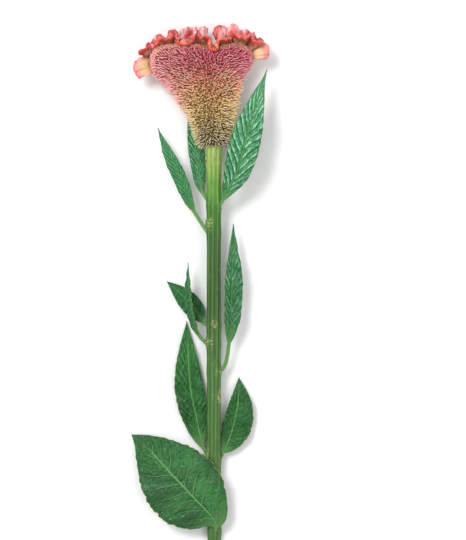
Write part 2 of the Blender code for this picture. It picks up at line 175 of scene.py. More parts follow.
CREST_BACK = (
    (-50.6, 390.6, 8.5, 0.9), (-50, 395.2, 12, 1), (-48.4, 398.4, 15.5, 1.1), (-45.2, 400.8, 13.5, 1.1),
    (-42.4, 400.9, 8.5, 1.1), (-40.4, 398.4, 6.5, 1), (-38.6, 395.2, 6, 1), (-36.8, 398.6, 7.5, 1),
    (-36.6, 402.6, 10.5, 1), (-34.6, 405, 11.5, 1.1), (-31.6, 405.2, 10, 1.1), (-29.8, 402.4, 7, 1),
    (-29.3, 398, 6, 1), (-28.4, 400, 11, 1), (-26.4, 403.4, 15.5, 1.1), (-23, 406, 14.5, 1.2),
    (-19, 407, 10.5, 1.2), (-15.8, 407.3, 9, 1.2), (-13, 406.6, 10, 1.1), (-10.8, 406.6, 13, 1.2),
    (-8, 407, 13.5, 1.2), (-5.9, 406.4, 10.5, 1), (-5.6, 403.6, 8, 0.9), (-6, 399.6, 6.5, 0.8),
    (-5, 395.4, 6, 0.8), (-2.4, 391.6, 6, 0.8), (1.4, 391.2, 6, 0.8), (5.2, 394.6, 7.5, 0.8),
    (5, 398, 9.5, 0.8), (2.8, 400.4, 12, 1), (-0.2, 402.4, 15, 1.1), (0.2, 405.6, 16.5, 1.2),
    (4.4, 407.8, 15, 1.3), (8, 407.4, 11.5, 1.2), (10.2, 405.8, 9, 1.1), (11.8, 407.4, 11, 1.2),
    (14.2, 408.8, 14.5, 1.2), (17, 408.4, 14.5, 1.2), (19.2, 406.2, 11, 1.2), (20.2, 403.6, 8, 1),
    (21.8, 404.8, 10, 1.1), (24.6, 405.4, 13.5, 1.2), (27.2, 404, 13.5, 1.2), (29.2, 400.8, 9.5, 1.1),
    (30.6, 398.6, 7, 1), (32, 402.2, 10.5, 1), (33.4, 401.2, 13, 1), (34.2, 397.4, 10, 1),
    (35.6, 395.8, 8, 1), (37.4, 398, 11, 1.1), (39.4, 396.6, 13, 1.1), (40, 392.8, 10, 1),
)
# The end flaps lie below these heights, and the right one beyond this place across, in mm
CREST_LEFT_FLAP_Y = 383.4
CREST_RIGHT_FLAP_Y = 394.4
CREST_RIGHT_FLAP_X = 38.6
CREST_FLAP_BLEND = 2
CREST_FLAP_ARCH = 2.4
CREST_STEP = 0.22 * MM
CREST_EVENING = 1.6 * MM
CREST_FOLD_EVENING = 7 * MM
CREST_FOOT_REACH = 0.42
CREST_CRINKLE = 0.45 * MM
CREST_RIM_DROP = 1.1 * MM
# Swellings of a ribbon's sides: (size, height), in mm
CREST_SWELLS = ((7, 0.45), (3.8, 0.34), (2.2, 0.16))
# The notch in the crest: no foot of the back ribbon between these places along the head's top
CREST_NOTCH = (67, 74)
# The low ruffle between the ribbons, in mm: its ends along the head's top, and its shape
RUFFLE_ENDS = (14, 99)
RUFFLE_HEIGHT = 5
RUFFLE_SWING = 4.4
RUFFLE_FOLD = 8
RUFFLE_HALF_THICKNESS = 1.1
# Cross-section of a ribbon: (half thicknesses sideways, share of the way up, half thicknesses above it)
CREST_PROFILE = (
    (-0.5, 0, 0), (-0.52, 0.14, 0), (-0.56, 0.28, 0), (-0.61, 0.42, 0), (-0.68, 0.55, 0), (-0.75, 0.67, 0),
    (-0.83, 0.78, 0), (-0.9, 0.88, 0), (-0.96, 0.96, 0), (-1, 1, 0.1), (-0.97, 1, 0.4), (-0.8, 1, 0.72),
    (-0.46, 1, 0.95), (0, 1, 1.02),
)

# Leaves, as in the solids
PETIOLE_HALF_WIDTH = 1.5 * MM
PETIOLE_THICKNESS = 2.2 * MM
LEAF_SEAT = 0.65 * MM
LEAF_ROOT_DEPTH = 2.2 * MM
LEAF_ROOT_DROP = 1 * MM
LEAF_ROOT_SHARE = 0.05
# at: mm along the stem and degrees round it. half: half widths at left and right in mm. petiole: share of
# the length. roll: degrees at foot and tip. fold: degrees up from the midrib. waves: count and mm high
# Leaves 1, 2, 3 and 7 set the strength of the painted highlights on them; the rest take a dull default
LEAVES = {
    "leaf_1": dict(
        at=(262, 25), half=(12.5, 13), petiole=0.04, roll=(0, 8), fold=14, waves=(3, 1.2), tip_power=1.5,
        gleam=1,
        midrib=((10, 274, 20), (18.5, 291, 24), (25.4, 316, 25.5), (34, 346, 23), (42.3, 372.3, 17))),
    "leaf_2": dict(
        at=(266, 195), half=(6.4, 6.4), petiole=0.1, roll=(-6, 0), fold=3, waves=(3, 0.4), gleam=0.5,
        midrib=((-10.5, 278, 11.5), (-12.5, 296, 6), (-16, 316, 2.4), (-21, 343, 1.8))),
    "leaf_3": dict(
        at=(241, 178), half=(6.2, 6.6), petiole=0.22, roll=(0, 25), fold=24, waves=(2, 0.8), gleam=0.3,
        midrib=((-11, 251, 12.5), (-19, 265, 13), (-27, 286, 13), (-37, 307, 11), (-45.3, 326, 8))),
    "leaf_4": dict(
        at=(152, 175), half=(5.5, 5.5), petiole=0.14, roll=(50, 62), fold=20, waves=(2, 0.5),
        midrib=((-12, 160, 11.5), (-17, 175, 14), (-19.5, 195, 15.5), (-21, 218, 13))),
    "leaf_5": dict(
        at=(166, 215), half=(8, 8.5), petiole=0.14, roll=(0, 0), fold=8, waves=(3, 0.7),
        midrib=((-9.5, 172, 4.8), (-17, 182, 3.6), (-27, 193, 3.4), (-38, 203, 2.6))),
    "leaf_6": dict(
        at=(62, 190), half=(13, 11), petiole=0.08, roll=(0, 0), fold=6, waves=(4, 1.2), crease=0.6,
        midrib=((-9.5, 72, 4.6), (-14, 92, 3.8), (-19, 118, 4.2), (-21, 145, 4.2), (-22, 171, 2.4))),
    "leaf_7": dict(
        at=(130, 5), half=(7.5, 9), petiole=0.2, roll=(-8, -28), fold=22, waves=(3, 1), gleam=0.5,
        midrib=((9.5, 138, 10.5), (12.5, 160, 13.5), (14, 190, 16), (14.5, 220, 15.5), (15.5, 249, 11))),
    "leaf_8": dict(
        at=(2, 62), half=(31, 30), petiole=0.05, roll=(0, 0), fold=-5, waves=(4, 1.8), veins=11, crease=0.3,
        midrib=((0, 12, 15.5), (-14, 28, 19.5), (-35, 50, 17), (-54, 70, 9), (-66.5, 80, 3.5))),
    "leaf_9": dict(
        at=(60, 348), half=(9, 15), petiole=0.1, roll=(0, 0), fold=8, waves=(3, 1.2), crease=0.6,
        midrib=((9.5, 70, 6.2), (14.5, 84, 5.2), (19, 104, 5.2), (20, 126, 3))),
}
LEAF_WIDEST = 0.42
LEAF_TIP_POWER = 1.15
LEAF_ROWS = 210
LEAF_COLUMNS = 48
LEAF_THICKNESS = 0.5 * MM
VEIN_COUNT = 15
VEIN_SWEEP = 0.17
# Relief of a blade, full where the blade is this wide
QUILT_HEIGHT = 1 * MM
CRINKLE_HEIGHT = 0.3 * MM
CREASE_HEIGHT = 0.22 * MM
RELIEF_FULL_WIDTH = 8 * MM
MIDRIB_GROOVE = 0.25 * MM
MIDRIB_HEIGHT = 0.7 * MM
MIDRIB_HALF_WIDTH = 0.9 * MM
MIDRIB_PALE_HALF_WIDTH = 0.5 * MM
# Strength of the painted highlights on a leaf that sets none of its own
DULL_PAINTED_GLEAM = 0.1
# Waves that notch the margin: (radians along it, shift by leaf, shift by side), and its flutter
MARGIN_NOTCHES = ((83, 1, 2), (131, 3, 0), (37, 2, 1))
MARGIN_NOTCH_DEPTH = 0.024
FLUTTER_HEIGHT = 0.45 * MM

# Studio: each light's place, size and power
KEY_LIGHT = ((-1.7, 1.9, 3.6), 1.7, 116)
FILL_LIGHT = ((1.9, -0.8, 3.4), 2, 28)
LIGHT_AIM = (0, 0.21, 0)
SKY_STRENGTH = 0.76
FLOOR_HALF_SIDE = 4.0


# Curves and meshes

def smooth_curve(points, shares):
    """Points at these shares of the length of a smooth curve through the given points."""
    p = np.asarray(points, float)
    p = np.vstack([2 * p[0] - p[1], p, 2 * p[-1] - p[-2]])
    t = np.linspace(0, 1, 30, endpoint=False)[:, None]
    runs = []
    for a, b, c, d in zip(p, p[1:], p[2:], p[3:]):
        runs.append(0.5 * (2 * b + (c - a) * t + (2 * a - 5 * b + 4 * c - d) * t**2
                           + (3 * b - a - 3 * c + d) * t**3))
    dense = np.vstack(runs + [p[-2:-1]])
    length = np.append(0, np.cumsum(np.linalg.norm(np.diff(dense, axis=0), axis=1)))
    return np.stack([np.interp(np.asarray(shares) * length[-1], length, dense[:, k])
                     for k in range(p.shape[1])], axis=-1)


def unit(v):
    return v / np.maximum(np.linalg.norm(v, axis=-1, keepdims=True), 1e-12)


def read_off(pairs, x):
    """A value read from a short list of (place, value) pairs."""
    places, values = np.asarray(pairs, float).T
    return np.interp(x, places, values)


def step_up(low, high, x):
    """A smooth step from 0 at low to 1 at high."""
    t = np.clip((x - low) / (high - low), 0, 1)
    return t * t * (3 - 2 * t)


def grid_faces(rows, columns, wrap=False):
    """Quads of a grid of points, closed round its columns if asked."""
    i, j = np.meshgrid(np.arange(rows - 1), np.arange(columns if wrap else columns - 1), indexing="ij")
    k = (j + 1) % columns
    return np.stack([i * columns + j, (i + 1) * columns + j, (i + 1) * columns + k, i * columns + k],
                    axis=-1).reshape(-1, 4)


def repeated(faces, count, points):
    """The faces of one small shape, again for each of a number of shapes with this many points."""
    return (faces[None] + (np.arange(count) * points)[:, None, None]).reshape(-1, 4)


def surface_normals(grid):
    return unit(np.cross(np.gradient(grid, axis=0), np.gradient(grid, axis=1)))


def make_piece(name, points, faces, material, node, slot, **masks):
    """A smooth mesh piece that stands for a node of the solids, with point masks for its material."""
    points = np.asarray(points, float).reshape(-1, 3)
    corners = faces.shape[1]
    mesh = bpy.data.meshes.new(name)
    mesh.vertices.add(len(points))
    mesh.vertices.foreach_set("co", points.ravel())
    mesh.loops.add(faces.size)
    mesh.loops.foreach_set("vertex_index", faces.ravel().astype(np.int32))
    mesh.polygons.add(len(faces))
    mesh.polygons.foreach_set("loop_start", np.arange(0, faces.size, corners, dtype=np.int32))
    mesh.update(calc_edges=True)
    mesh.validate()
    for key, values in masks.items():
        layer = mesh.attributes.new(key, "FLOAT", "POINT")
        layer.data.foreach_set("value", np.asarray(values, float).ravel())
    mesh.shade_smooth()
    mesh.materials.append(material)
    piece = bpy.data.objects.new(name, mesh)
    bpy.context.scene.collection.objects.link(piece)
    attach(piece, "root")
    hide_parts(node)


# Materials

def srgb(code):
    """A colour given by its hex code, as the renderer's linear colour."""
    share = np.array([int(code[k:k + 2], 16) for k in (0, 2, 4)]) / 255
    linear = np.where(share <= 0.04045, share / 12.92, ((share + 0.055) / 1.055) ** 2.4)
    return (*map(float, linear), 1.0)


class Nodes:
    """A material's node tree, with short calls that add and link its nodes."""

    def __init__(self, name, **shader):
        self.material = bpy.data.materials.new(name)
        self.material.use_nodes = True
        self.tree = self.material.node_tree
        self.shader = self.tree.nodes["Principled BSDF"]
        for key, value in shader.items():
            self.shader.inputs[key.replace("_", " ")].default_value = value

    def add(self, kind, inputs=(), **settings):
        made = self.tree.nodes.new("ShaderNode" + kind)
        for key, value in settings.items():
            setattr(made, key, value)
        for key, value in dict(inputs).items():
            self.put(made.inputs[key], value)
        return made

    def put(self, socket, value):
        if isinstance(value, bpy.types.NodeSocket):
            self.tree.links.new(value, socket)
        else:
            socket.default_value = value

    def mask(self, name):
        return self.add("Attribute", attribute_name=name).outputs["Fac"]

    def place(self):
        return self.add("NewGeometry").outputs["Position"]

    def axis(self, letter):
        """The place along X, across the flower, or along Y, up it."""
        return self.add("SeparateXYZ", {0: self.place()}).outputs[letter]

    def math(self, operation, a, b=0):
        return self.add("Math", {0: a, 1: b}, operation=operation).outputs[0]

    def plus(self, a, b):
        return self.math("ADD", a, b)

    def times(self, a, b):
        return self.math("MULTIPLY", a, b)

    def noise(self, scale, detail=3, stretch=(1, 1, 1), rough=0.55):
        moved = self.add("Mapping", {"Vector": self.place(), "Scale": stretch}).outputs[0]
        return self.add("TexNoise", {"Vector": moved, "Scale": scale, "Detail": detail,
                                     "Roughness": rough}).outputs["Fac"]

    def between(self, value, low, high, to_low=0, to_high=1):
        return self.add("MapRange", {0: value, 1: low, 2: high, 3: to_low, 4: to_high},
                        interpolation_type="SMOOTHSTEP").outputs[0]

    def sway(self, scale, detail, reach):
        """Noise that runs from -reach to reach."""
        return self.between(self.noise(scale, detail), 0.2, 0.8, -reach, reach)

    def mix(self, share, a, b):
        return self.add("Mix", {0: share, 6: a, 7: b}, data_type="RGBA").outputs[2]

    def coats(self, colour, *layers):
        """The colour with layers laid over it in turn, each a (share, hex code)."""
        for share, code in layers:
            colour = self.mix(share, colour, srgb(code))
        return colour

    def ramp(self, value, *stops):
        """A colour read off stops, each a (place, hex code)."""
        made = self.add("ValToRGB", {0: value})
        bar = made.color_ramp
        while len(bar.elements) < len(stops):
            bar.elements.new(0.5)
        for element, (place, code) in zip(bar.elements, stops):
            element.position = place
            element.color = srgb(code)
        return made.outputs[0]

    def bump(self, height, strength, distance):
        made = self.add("Bump", {"Height": height, "Strength": strength, "Distance": distance})
        self.put(self.shader.inputs["Normal"], made.outputs[0])

    def colour(self, value):
        self.put(self.shader.inputs["Base Color"], value)

    def rough(self, value):
        self.put(self.shader.inputs["Roughness"], value)


def stem_material():
    """Fresh ridged stem: pale ridges, green grooves, brown scars and a pale cut pith."""
    n = Nodes("stem_skin", Specular_IOR_Level=0.5, Subsurface_Weight=0.08, Subsurface_Scale=0.002)
    ridge = n.mask("ridge")
    along = n.plus(n.axis("Y"), n.sway(60, 2, 0.008))
    streak = n.noise(900, 4, (1, 0.03, 1))
    base = n.coats(
        n.ramp(n.between(along, -0.005, 0.312), (0, "3a6426"), (0.35, "3a6626"), (0.62, "2e5416"),
               (0.76, "265012"), (0.86, "24580e"), (0.93, "327216"), (0.97, "62982e"), (1, "9eb65c")),
        (n.between(streak, 0.42, 0.7, 0, 0.5), "1a4210"),
        (n.between(ridge, 0.35, 1.3, 0, 0.26), "86b24a"),
        (n.between(ridge, -1.2, 0, 0.4, 0), "28541e"),
        (n.between(n.noise(160, 3), 0.55, 0.8, 0, 0.12), "c8c860"),
        (n.times(n.mask("collar"), n.between(n.noise(500, 3), 0.35, 0.6)), "acb870"),
        (n.between(n.mask("scar"), 0.35, 0.75), "8e5832"))
    pith = n.ramp(n.noise(1500, 2), (0.3, "cddca0"), (0.8, "ecf0d0"))
    n.colour(n.mix(n.mask("pith"), base, pith))
    n.rough(n.between(streak, 0.2, 0.8, 0.34, 0.5))
    n.bump(n.plus(n.noise(2600, 2, (1, 0.05, 1)), n.times(n.noise(420, 3), 0.6)), 0.35, 0.0002)
    return n.material


def leaf_material():
    """Leaf blade: deep green quilts with painted highlights on their tops and painted shade in their
    hollows and creases, fine pale veins, a thin speckled margin and a paler underside.
    """
    n = Nodes("leaf_skin", Specular_IOR_Level=0.36, Subsurface_Weight=0.05, Subsurface_Scale=0.0015)
    veins, reach, gleam, quilt = map(n.mask, ("veins", "reach", "gleam", "quilt"))
    along = n.axis("Y")
    higher_up = n.between(along, 0.1, 0.27)
    # Noise stretched along the side veins: painted shade in the creases where it is low, painted highlight
    # streaks where it is high
    fine = n.add("CombineXYZ", {0: n.times(veins, 2.1), 1: n.times(reach, 3), 2: n.times(along, 60)})
    crease = n.add("TexNoise", {"Vector": fine.outputs[0], "Scale": 1, "Detail": 4,
                                "Roughness": 0.65}).outputs["Fac"]
    # Row runs from 0 to 1 between two side veins: a painted highlight on its first part, and painted shade
    # on its last
    row = n.math("FRACT", n.plus(veins, n.sway(400, 2, 0.07)))
    painted_highlight = n.times(n.between(row, 0.03, 0.14), n.between(row, 0.42, 0.16))
    painted_highlight = n.times(painted_highlight, n.between(crease, 0.4, 0.56))
    painted_highlight = n.times(painted_highlight, n.between(reach, 0.03, 0.15))
    painted_highlight_weight = n.plus(n.times(n.times(higher_up, gleam), 0.9), 0.04)
    shade = n.times(n.between(row, 0.7, 0.93), n.plus(n.times(higher_up, 0.4), 0.4))
    # Patches of painted highlight on the quilt tops
    patchy_highlight = n.times(n.between(n.noise(330, 4, rough=0.7), 0.4, 0.62), n.times(gleam, 0.22))
    net = n.add("TexVoronoi", {"Vector": n.place(), "Scale": 420}, feature="DISTANCE_TO_EDGE")
    net = net.outputs["Distance"]
    vein = n.math("DIVIDE", n.math("PINGPONG", veins, 0.5), n.between(reach, 0, 1, 0.05, 0.016))
    vein = n.between(vein, 0.5, 1.3, 1, 0)
    base = n.coats(
        n.ramp(n.noise(45, 4), (0.3, "083e0e"), (0.5, "0e5616"), (0.72, "247024")),
        (n.times(higher_up, 0.6), "1a8048"),
        (n.between(along, 0.27, 0.36, 0, 0.45), "4ea870"),
        # Painted shade in the creases
        (n.between(crease, 0.44, 0.32, 0, 0.4), "04321a"),
        # Painted shade just before each side vein
        (n.times(shade, n.between(reach, 0, 0.12)), "042c16"),
        # Painted highlight just past each side vein
        (n.times(painted_highlight, painted_highlight_weight), "b0e8ca"),
        # Painted highlight streaks along the creases
        (n.times(n.between(crease, 0.53, 0.66), n.times(gleam, 0.35)), "96dcb4"),
        # Painted highlight on the quilt tops
        (n.times(n.between(quilt, 0.45, 0.95), patchy_highlight), "a0e0bc"),
        # Painted shade in the quilt hollows
        (n.between(quilt, 0.05, 0.5, 0.45, 0), "043418"),
        (n.between(n.noise(700, 2), 0.45, 0.7, 0, 0.3), "042e12"),
        (n.between(net, 0, 0.1, 0.3, 0), "307434"),
        (n.times(vein, 0.62), "5a9c4e"),
        (n.mask("rib"), "68a054"))
    margin = n.ramp(n.noise(900, 2), (0.42, "343212"), (0.55, "b0b260"))
    base = n.mix(n.between(reach, 0.965, 1, 0, 0.8), base, margin)
    n.colour(n.coats(base, (n.times(n.mask("under"), 0.6), "4e8446")))
    n.rough(n.between(n.noise(300, 3), 0.3, 0.7, 0.3, 0.46))
    relief = n.plus(n.between(net, 0, 0.3, -0.5, 0.5), n.times(n.noise(900, 2), 0.5))
    n.bump(n.math("SUBTRACT", relief, n.times(vein, 1.2)), 0.55, 0.00035)
    return n.material


def floret_material():
    """Papery florets: khaki at the foot, gold and salmon, then crimson at the top, with pale points and
    painted shade at the foot of each blade.
    """
    n = Nodes("floret_skin", Specular_IOR_Level=0.3, Subsurface_Weight=0.15, Subsurface_Scale=0.001,
              Roughness=0.55, Sheen_Weight=0.3)
    tip, luck = n.mask("tip"), n.mask("luck")
    level = n.plus(n.mask("level"), n.sway(90, 3, 0.07))
    body = n.ramp(level, (0.02, "968458"), (0.14, "ceb876"), (0.34, "fcde8c"), (0.52, "ffca8e"),
                  (0.64, "ffae92"), (0.75, "f07084"), (0.93, "e4507c"))
    point = n.ramp(level, (0.05, "f0ead0"), (0.4, "fff6ce"), (0.58, "ffead0"), (0.72, "ffd4d0"),
                   (0.93, "fec2d0"))
    n.colour(n.coats(
        n.mix(n.between(tip, 0.45, 1), body, point),
        # Painted shade at the foot of each blade, deep in the tuft
        (n.between(tip, 0.05, 0.45, 0.38, 0), "783822"),
        (n.between(luck, 0.7, 1, 0, 0.2), "aa5a3e"),
        (n.between(luck, 0.35, 0, 0, 0.55), "fff0dc"),
        (n.between(n.axis("X"), -0.012, -0.038, 0, 0.75), "ffc0ba")))
    return n.material


def seed_and_shade_material():
    """Shiny near-black seeds, which also stand in for the shade in the gaps between the florets."""
    n = Nodes("seed_and_shade_skin", Specular_IOR_Level=0.5)
    n.colour(n.ramp(n.noise(900, 2), (0.35, "140c0a"), (0.7, "341e16")))
    n.rough(n.between(n.noise(2000, 2), 0.3, 0.7, 0.3, 0.45))
    return n.material


def core_material():
    """The head's body: darkened between the florets with painted shade, brown above them, mottled at its
    ends, red on its cap.
    """
    n = Nodes("head_body", Specular_IOR_Level=0.2, Roughness=0.8)
    level, across = n.mask("level"), n.axis("X")
    # Between the florets: painted shade, darker tones of the florets' colours with near-black blotches
    dark = n.coats(
        n.ramp(level, (0.06, "463c22"), (0.3, "8c6832"), (0.55, "9c5c36"), (0.8, "962e38")),
        (n.between(n.noise(500, 3), 0.45, 0.62, 0, 0.8), "1e100a"))
    brown = n.ramp(n.noise(1100, 3, (1, 0.15, 1)), (0.35, "703c2c"), (0.65, "c48c6a"))
    mottled = n.ramp(n.noise(900, 3, (1, 0.5, 1)), (0.34, "70342c"), (0.44, "ce7068"),
                     (0.54, "e2a08a"), (0.68, "f0d0b4"))
    ends = n.math("MAXIMUM", n.between(across, -0.042, -0.047), n.between(across, 0.025, 0.029))
    ends = n.times(ends, n.between(n.axis("Y"), 0.392, 0.385))
    skin = n.mix(n.between(level, 0.935, 0.96), dark, n.mix(ends, brown, mottled))
    n.colour(n.coats(skin, (n.between(level, 1, 1.1), "962828")))
    n.bump(n.noise(1600, 3), 0.6, 0.0005)
    return n.material


def crest_material():
    """Velvety crest: pink walls behind, coral lips in front, olive-brown feet partly painted as shade, and
    creamy end flaps, with painted shade in its hollows and painted highlights on its bulges and streaks.
    """
    n = Nodes("crest_skin", Specular_IOR_Level=0.5, Roughness=0.34, Subsurface_Weight=0.1,
              Subsurface_Scale=0.001, Sheen_Weight=0.25, Sheen_Roughness=0.4)
    n.shader.inputs["Sheen Tint"].default_value = srgb("ffc8be")
    across, fold, swell = n.axis("X"), n.mask("fold"), n.mask("swell")
    rise = n.plus(n.mask("rise"), n.sway(170, 3, 0.07))
    ends = n.math("MAXIMUM", n.between(across, -0.0485, -0.052), n.between(across, 0.028, 0.0305))
    ends = n.times(ends, 0.6)
    bright = n.times(n.between(n.noise(230, 3), 0.46, 0.66), n.between(rise, 0.6, 0.85))
    # Front ribbon: coral at the lip, olive-brown towards the foot, partly its own colour and partly painted
    # shade under the overhanging lip
    front = n.coats(
        n.ramp(rise, (0, "967654"), (0.36, "865a40"), (0.58, "8a422c"), (0.7, "aa2a1c"),
               (0.86, "be2c20"), (1, "ce4434")),
        (n.times(bright, 0.75), "f48454"),
        (n.times(ends, n.between(rise, 0.5, 0.7)), "be262a"))
    streaks = (1, 0.45, 0.7)
    back = n.coats(
        n.ramp(rise, (0, "683024"), (0.22, "9c3428"), (0.42, "cc504c"), (0.65, "e07476"),
               (0.84, "c43444"), (1, "d85864")),
        (n.between(n.noise(150, 3), 0.52, 0.68, 0, 0.6), "d4522a"),
        (n.between(n.noise(120, 2), 0.44, 0.32, 0, 0.6), "a4242e"),
        # Painted shade where the rim lies back from its neighbours, painted highlight where it stands
        # forward
        (n.between(fold, -0.1, -0.9, 0, 0.7), "963022"),
        (n.between(fold, 0.2, 0.9, 0, 0.55), "fab8b4"),
        # Pale pink-white streaks are painted highlights; the dark red streaks after them are tone
        (n.between(n.noise(135, 3, streaks), 0.49, 0.58, 0, 0.78), "ffd0d0"),
        (n.between(n.noise(210, 3, streaks), 0.46, 0.36, 0, 0.5), "b02834"),
        (ends, "c42c30"))
    flap = n.coats(
        n.ramp(n.plus(n.mask("rise"), n.sway(110, 3, 0.1)), (0, "b0925c"), (0.25, "d6b680"),
               (0.5, "e0ae8a"), (0.7, "de9688"), (0.82, "de767a"), (1, "da6270")),
        (n.between(n.noise(160, 3), 0.45, 0.7, 0, 0.5), "e89284"))
    forward = n.plus(n.mask("front"), n.sway(120, 2, 0.003))
    skin = n.coats(
        n.mix(n.between(forward, 0.0175, 0.0215), back, front),
        # Painted shade in the hollows of the ribbon's sides, painted highlight on their bulges
        (n.between(swell, -0.1, -0.8, 0, 0.6), "741a1a"),
        (n.between(swell, 0.2, 0.8, 0, 0.3), "fab4a8"))
    skin = n.mix(n.mask("flap"), skin, flap)
    # Pale pink-white patches over the whole crest: painted highlights
    n.colour(n.coats(skin, (n.between(n.noise(420, 3), 0.55, 0.75, 0, 0.3), "fccec8")))
    n.bump(n.plus(n.noise(1500, 3), n.times(n.noise(320, 3), 1.2)), 0.45, 0.0004)
    return n.material


def floor_material():
    """Pale matt floor, very faintly mottled."""
    n = Nodes("studio_floor", Roughness=0.9, Specular_IOR_Level=0.1)
    dark, pale = (0.86, 0.86, 0.86, 1), (0.89, 0.89, 0.89, 1)
    n.colour(n.mix(n.between(n.noise(40, 4), 0.3, 0.7), dark, pale))
    return n.material


# Stem

def stem_axis_z(y):
    return STEM_END_Z + (STEM_TOP_Z - STEM_END_Z) * (y - STEM_END_Y) / (STEM_TOP_Y - STEM_END_Y)


def stem_point(y, angle, out=0):
    """A point on the ridged surface of the stem, at an angle from its right side over its front."""
    ridge = 1 + STEM_RIDGE_DEPTH * np.cos(STEM_RIDGES * angle + STEM_TWIST_PER_M * STEM_RIDGES * y)
    nodes = sum(np.exp(-(((y - leaf["at"][0] * MM) / STEM_NODE_HALF_LENGTH) ** 2))
                for leaf in LEAVES.values())
    radius = read_off(STEM_HALF_WIDTHS, y / MM) * MM * ridge * (1 + STEM_NODE_SWELL * nodes) + out
    z = np.maximum(stem_axis_z(y) + radius * np.sin(angle), 0)
    return np.stack(np.broadcast_arrays(radius * np.cos(angle), y, z), axis=-1)


def build_stem():
    """The stem with fine lines between its ridges, scars where leaves have dropped, and a cut end."""
    y, angle = np.meshgrid(np.linspace(STEM_END_Y, STEM_TOP_Y, STEM_RINGS),
                           np.arange(STEM_SIDES) / STEM_SIDES * 2 * math.pi, indexing="ij")
    out = np.zeros_like(y)
    ridge = np.cos(STEM_RIDGES * angle + STEM_TWIST_PER_M * STEM_RIDGES * y)
    for count, height, twist in STEM_LINES:
        line = np.cos(count * angle + twist * 2 * math.pi * y + 0.6 * np.sin(40 * y + count))
        out += height * MM * line
        ridge = ridge + 0.35 * line
    scar, collar = np.zeros_like(y), np.zeros_like(y)
    for along, degrees, half, height, share in STEM_SCARS:
        turn = (angle - math.radians(degrees) + math.pi) % (2 * math.pi) - math.pi
        reach = np.hypot((y / MM - along) / half, turn * STEM_SCAR_RADIUS / (1.1 * half)) * (
            1 + 0.3 * np.sin(5 * turn + along) + 0.25 * np.sin(2.4 * (y / MM - along) + along))
        out += height * MM * np.exp(-reach**2) - 0.35 * MM * np.exp(-(reach / 0.45) ** 2)
        scar = np.maximum(scar, share * np.exp(-(reach / 0.62) ** 2))
        collar = np.maximum(collar, 0.8 * np.exp(-((reach - 1) / 0.35) ** 2))
    skin = stem_point(y, angle, out)
    middle = skin[0].mean(axis=0)
    ends = [middle + (skin[0] - middle) * share + (0, dip * MM, 0) for share, dip in STEM_CUT]
    points = np.concatenate([np.array(ends), skin])
    pad = np.zeros((len(ends), STEM_SIDES))
    pith = np.concatenate([np.ones_like(pad), np.zeros_like(y)])
    pith[len(ends) - 1] = 0.4
    faces = grid_faces(len(points), STEM_SIDES, wrap=True)
    make_piece("stem_skin", points, faces[:, ::-1], stem_material(), "stem", "stem",
               ridge=np.concatenate([pad, ridge]), scar=np.concatenate([pad, scar]),
               collar=np.concatenate([pad, collar]), pith=pith)


# Head

def foot_corner(side):
    return np.array([(2 * side - 1) * HEAD_FOOT_HALF_WIDTH, HEAD_FOOT_Y])


def head_outline(across, up):
    """A point of the head's middle sheet, from its foot to its top edge and from left to right."""
    left = smooth_curve(HEAD_LEFT_SIDE, up)
    right = smooth_curve(HEAD_RIGHT_SIDE, up)
    top = smooth_curve(HEAD_TOP, across)
    foot = np.stack([(2 * np.asarray(across) - 1) * HEAD_FOOT_HALF_WIDTH,
                     np.full(np.shape(across), HEAD_FOOT_Y)], axis=-1)
    c, v = np.asarray(across)[..., None], np.asarray(up)[..., None]
    corners = ((1 - c) * (1 - v) * foot_corner(0) + c * (1 - v) * foot_corner(1)
               + (1 - c) * v * np.array(HEAD_TOP[0]) + c * v * np.array(HEAD_TOP[-1]))
    return ((1 - c) * left + c * right + (1 - v) * foot + v * top - corners) * MM


def head_point(turn, up):
    """A point on the head's body: turn runs once round it, from the left edge over the front."""
    across = (1 - np.cos(turn)) / 2
    depth = np.sign(np.sin(turn)) * np.abs(np.sin(turn)) ** HEAD_ROUNDNESS
    xy = head_outline(across, up)
    z = (read_off(HEAD_MIDDLE_HEIGHTS, up) + depth * read_off(HEAD_HALF_DEPTHS, up)) * MM
    away = (((xy - (HEAD_REST_X, HEAD_REST_Y)) / HEAD_REST_RADII) ** 2).sum(axis=-1)
    z = np.where(depth < 0, z - HEAD_REST_PRESS * np.exp(-away), z)
    return np.concatenate([xy, np.maximum(z, 0)[..., None]], axis=-1)


def build_head_body():
    """The body that carries the florets, with a velvety cap under the crest."""
    turn = np.arange(HEAD_SIDES) / HEAD_SIDES * 2 * math.pi
    up = np.linspace(0, 1, HEAD_RINGS)
    skin = head_point(*np.broadcast_arrays(turn[None, :], up[:, None]))
    level = np.repeat(up[:, None], len(turn), axis=1)
    spine = head_outline((1 - np.cos(turn)) / 2, np.ones(len(turn)))
    spine = np.column_stack([spine, np.full(len(turn), HEAD_MIDDLE_HEIGHTS[-1][1] * MM)])
    cap = np.array([skin[-1] + (spine - skin[-1]) * share for share in (0.25, 0.5, 0.75, 1)])
    foot_middle = skin[0].mean(axis=0)
    foot = np.array([foot_middle + (skin[0] - foot_middle) * share for share in (0.05, 0.5)])
    points = np.concatenate([foot, skin, cap])
    levels = np.concatenate([np.zeros((2, len(turn))), level, np.full((len(cap), len(turn)), 1.2)])
    make_piece("head_body", points, grid_faces(len(points), len(turn), wrap=True), core_material(),
               "head_florets", "head_florets", level=levels)


